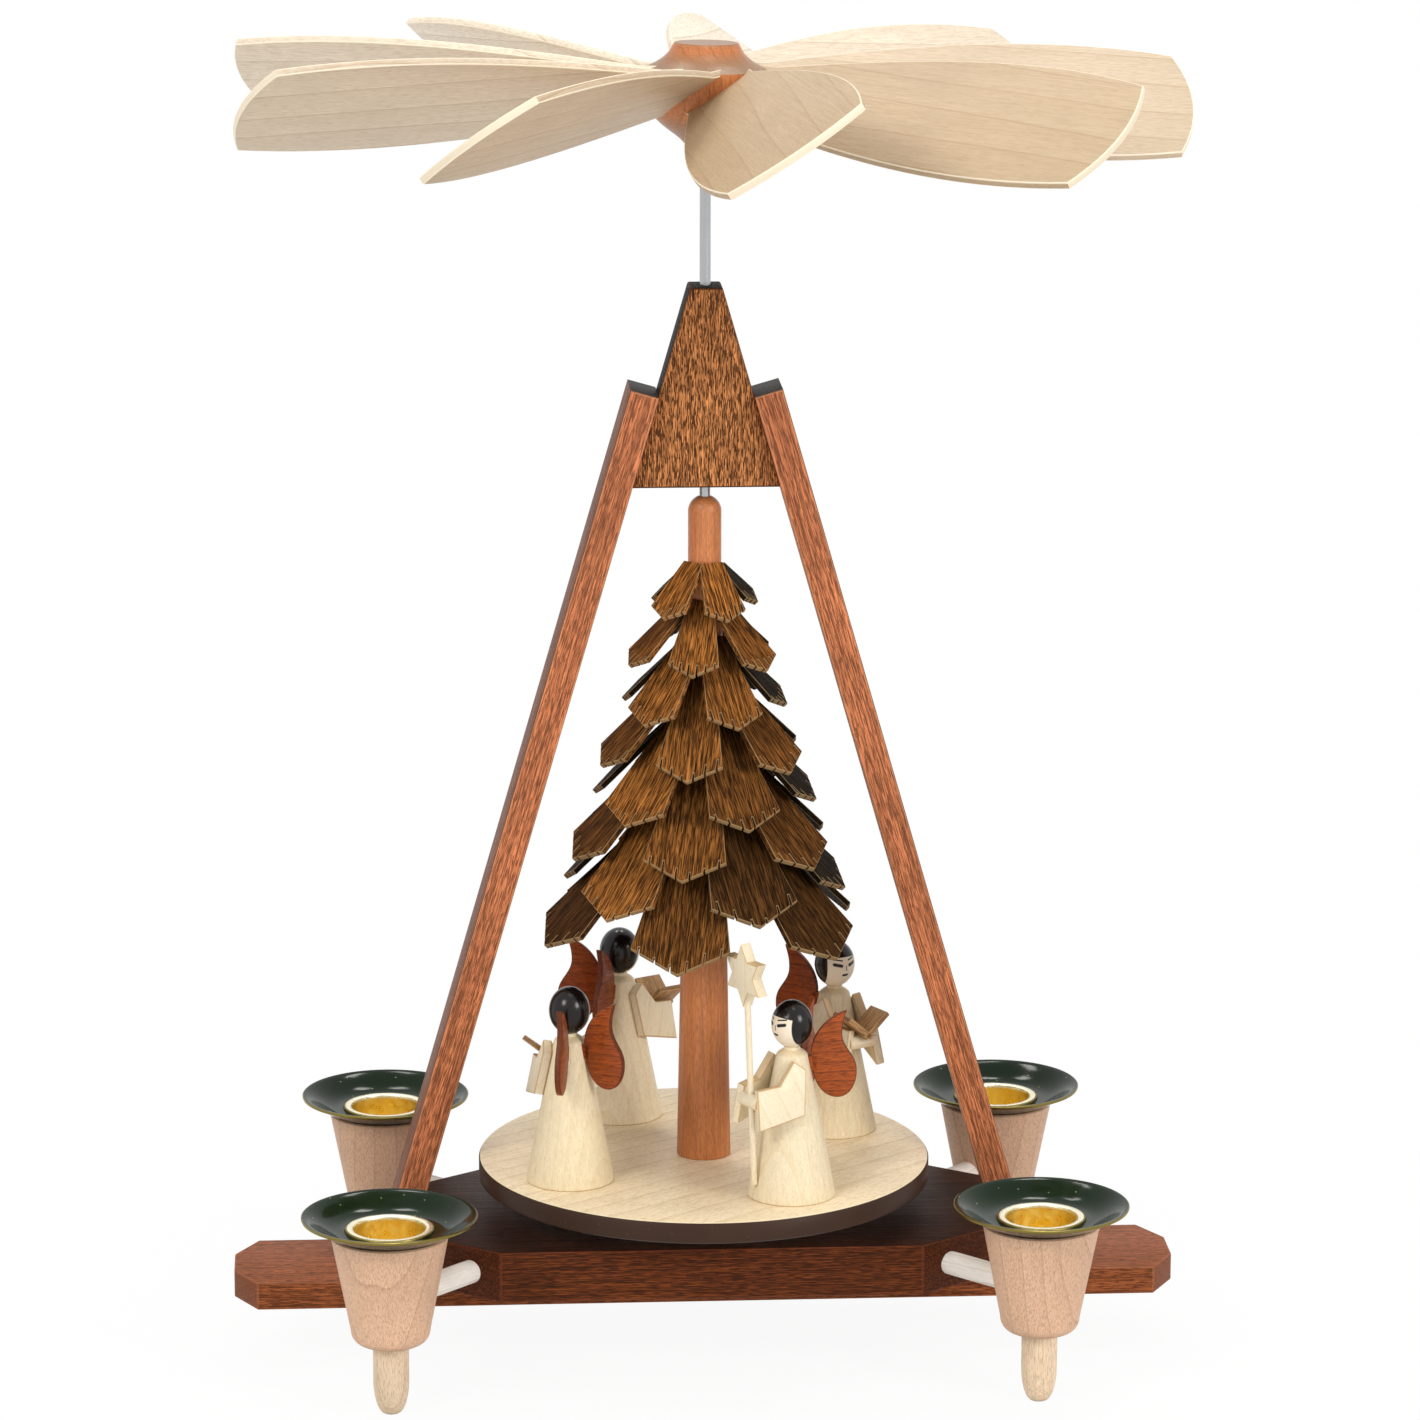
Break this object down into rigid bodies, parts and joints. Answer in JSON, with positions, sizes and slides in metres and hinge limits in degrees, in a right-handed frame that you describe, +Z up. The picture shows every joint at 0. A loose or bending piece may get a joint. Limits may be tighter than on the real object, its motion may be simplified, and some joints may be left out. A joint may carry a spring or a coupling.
{
  "type": "christmas pyramid",
  "caption": "Table-top Christmas pyramid: wooden A-frame stand with candle cups on foot pegs; hot air on the pitched fan turns a shingled fir tree and angels on a round platform.",
  "frame": {"origin": "on the table plane under the tips of the foot pegs, on the shaft's axis", "axes": "+Z up along the shaft, -Y towards the front (the side in the picture), +X to the right as seen from the front"},
  "size_m": [0.2019, 0.2009, 0.2819],
  "materials": {
    "bar_wood": "stained and waxed",
    "block_wood": "stained dark and waxed",
    "leg_wood": "stained and waxed",
    "head_wood": "stained and waxed",
    "trunk_wood": "turned, stained",
    "shingle_wood": "split and stained",
    "blade_wood": "thin sawn board, natural",
    "platform_wood": "turned, natural, dark stained rim",
    "hub_wood": "turned, stained",
    "cup_wood": "turned, natural",
    "peg_wood": "turned, natural",
    "dowel_wood": "natural dowel",
    "skirt_wood": "turned, natural",
    "pale_wood": "sawn, natural",
    "face_wood": "turned, painted face and hair",
    "wing_wood": "thin sawn board, stained",
    "tray_enamel": "glossy dark green enamel",
    "bearing_brass": "turned",
    "shaft_steel": "drawn rod"
  },
  "bodies": {
    "stand": {"base_bar": "bar_wood", "base_block": "block_wood", "pivot_cup": "bearing_brass", "head_block": "head_wood", "leg_left": "leg_wood", "leg_right": "leg_wood", "candle_cup_front_left": "cup_wood", "candle_tray_front_left": "tray_enamel", "foot_peg_front_left": "peg_wood", "cup_dowel_front_left": "dowel_wood", "candle_cup_front_right": "cup_wood", "candle_tray_front_right": "tray_enamel", "foot_peg_front_right": "peg_wood", "cup_dowel_front_right": "dowel_wood", "candle_cup_back_right": "cup_wood", "candle_tray_back_right": "tray_enamel", "foot_peg_back_right": "peg_wood", "cup_dowel_back_right": "dowel_wood", "candle_cup_back_left": "cup_wood", "candle_tray_back_left": "tray_enamel", "foot_peg_back_left": "peg_wood", "cup_dowel_back_left": "dowel_wood"},
    "rotor": {"shaft": "shaft_steel", "turning_platform": "platform_wood", "trunk": "trunk_wood", "fan_hub": "hub_wood", "tree_layer_1": "shingle_wood", "tree_layer_2": "shingle_wood", "tree_layer_3": "shingle_wood", "tree_layer_4": "shingle_wood", "tree_layer_5": "shingle_wood", "tree_layer_6": "shingle_wood", "tree_layer_7": "shingle_wood", "tree_layer_8": "shingle_wood", "fan_blade_1": "blade_wood", "fan_blade_2": "blade_wood", "fan_blade_3": "blade_wood", "fan_blade_4": "blade_wood", "fan_blade_5": "blade_wood", "fan_blade_6": "blade_wood", "fan_blade_7": "blade_wood", "fan_blade_8": "blade_wood", "fan_blade_9": "blade_wood", "angel_1_body": "skirt_wood", "angel_1_head": "face_wood", "angel_1_wings": "wing_wood", "angel_1_arms": "pale_wood", "angel_2_body": "skirt_wood", "angel_2_head": "face_wood", "angel_2_wings": "wing_wood", "angel_2_arms_and_book": "pale_wood", "angel_3_body": "skirt_wood", "angel_3_head": "face_wood", "angel_3_wings": "wing_wood", "angel_3_arms_and_book": "pale_wood", "angel_4_body": "skirt_wood", "angel_4_head": "face_wood", "angel_4_wings": "wing_wood", "angel_4_arms_and_book": "pale_wood", "angel_1_star_staff": "pale_wood"}
  },
  "joints": [
    {"name": "rotor_turn", "type": "hinge", "parent": "stand", "child": "rotor", "pos_m": [0, 0, 0], "axis": [0, 0, 1], "continuous": true}
  ]
}
